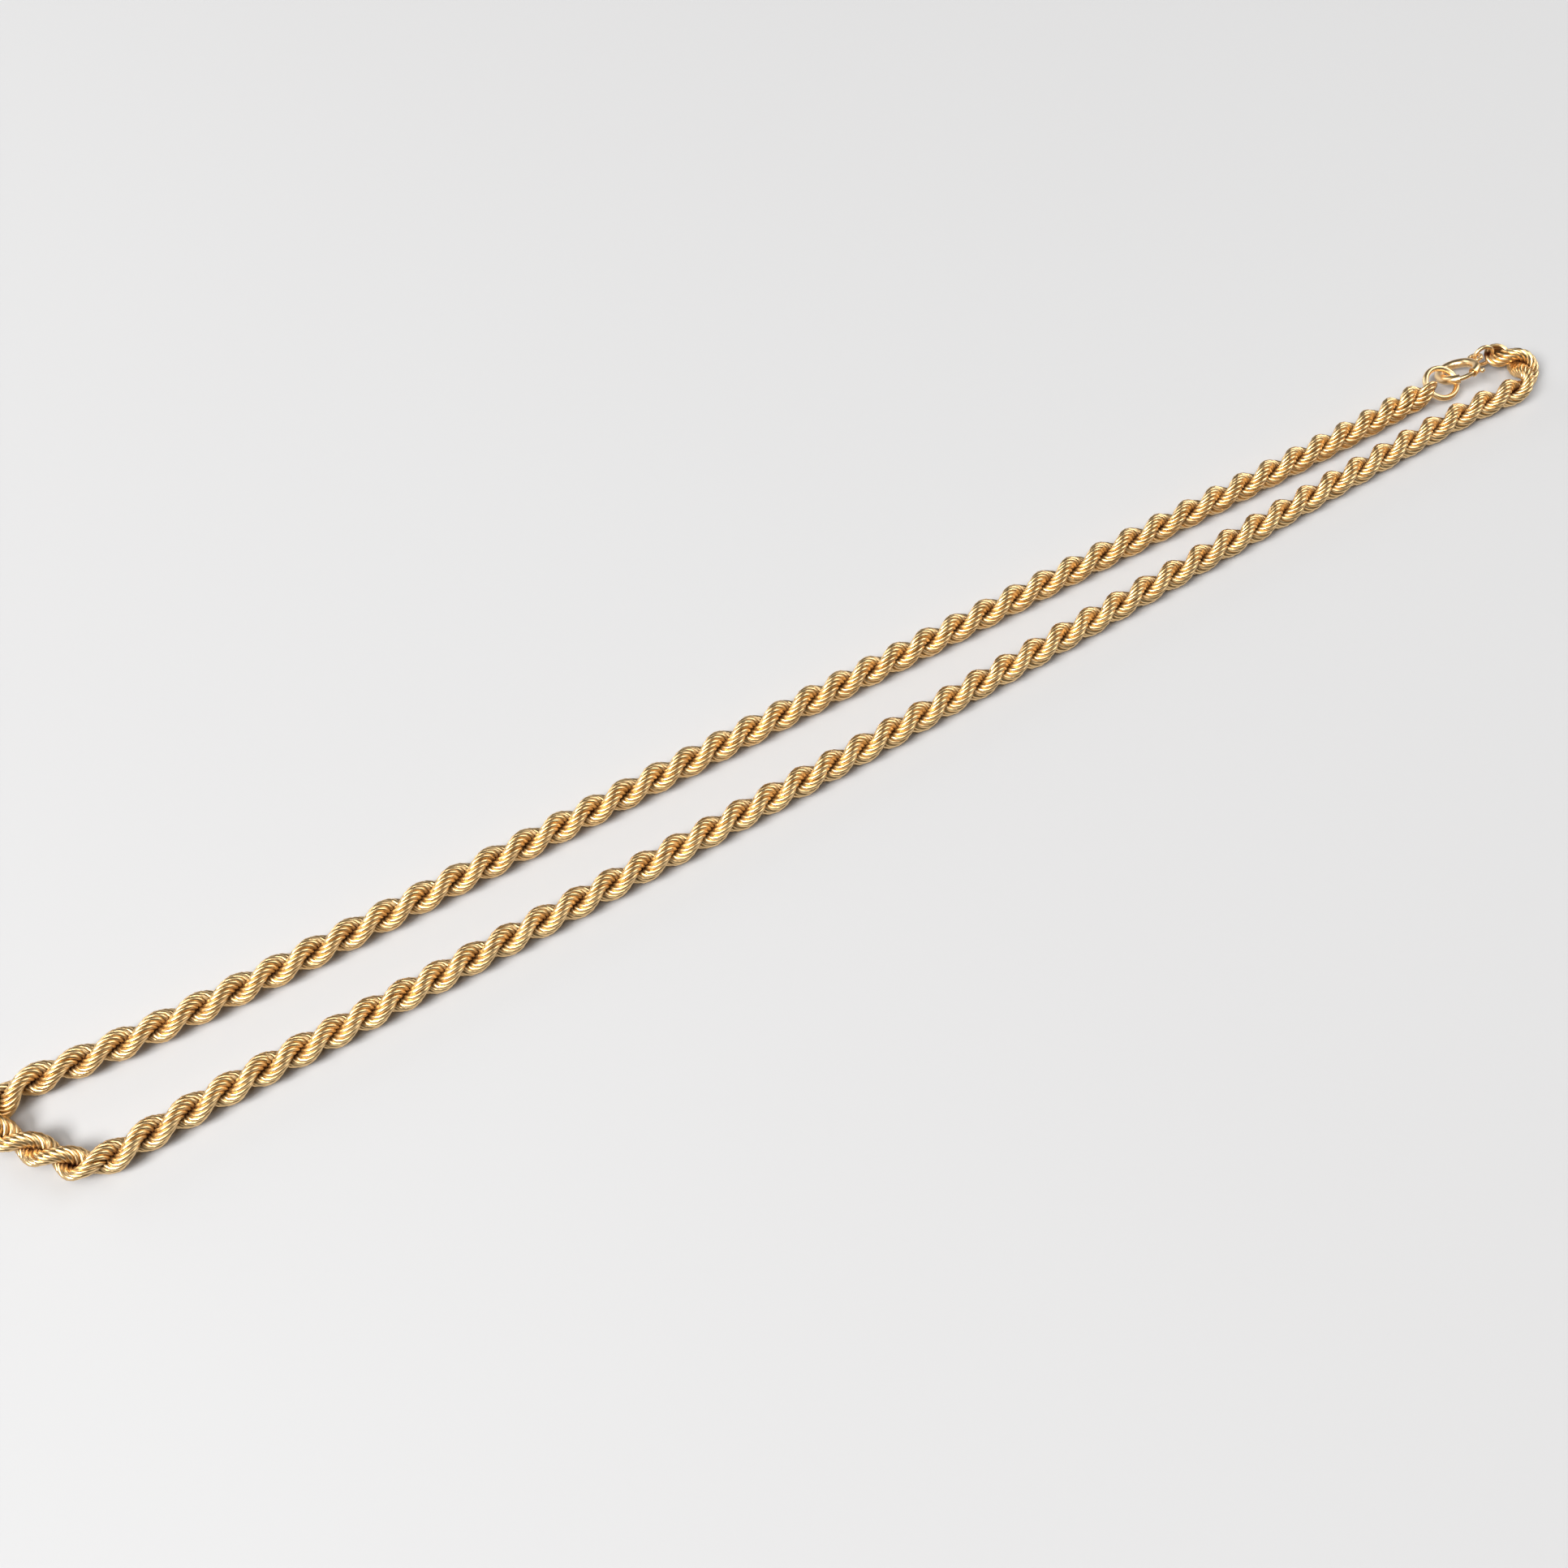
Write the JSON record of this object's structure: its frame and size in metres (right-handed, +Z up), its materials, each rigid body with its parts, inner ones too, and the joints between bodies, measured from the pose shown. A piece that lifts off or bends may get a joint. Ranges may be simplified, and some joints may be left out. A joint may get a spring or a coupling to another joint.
{
  "type": "rope chain necklace",
  "caption": "Polished yellow gold rope chain necklace of twisted round links, lying as a long narrow loop and closed by a bolt ring clasp on a plain catch ring.",
  "frame": {"origin": "middle of the bounding box, on the surface that the necklace lies on", "axes": "+X along the loop towards the clasp, +Y across the loop towards the run that ends in the catch ring, +Z up from the surface"},
  "size_m": [0.2307, 0.017, 0.0045],
  "materials": {
    "rope_gold": "polished",
    "ring_gold": "polished",
    "clasp_gold": "polished"
  },
  "bodies": {
    "necklace": {"rope_chain": "rope_gold", "catch_ring": "ring_gold", "bolt_ring": "clasp_gold", "connecting_ring": "ring_gold"},
    "bolt": {"sliding_bolt": "clasp_gold"}
  },
  "joints": [
    {"name": "bolt_pull", "type": "hinge", "parent": "necklace", "child": "bolt", "pos_m": [0.1043, 0.0036, 0.00214], "axis": [-0.1021, 0.5789, 0.809], "range_deg": [0, 52], "stiffness_Nm_per_rad": 0.001, "springref_deg": -11.46}
  ]
}
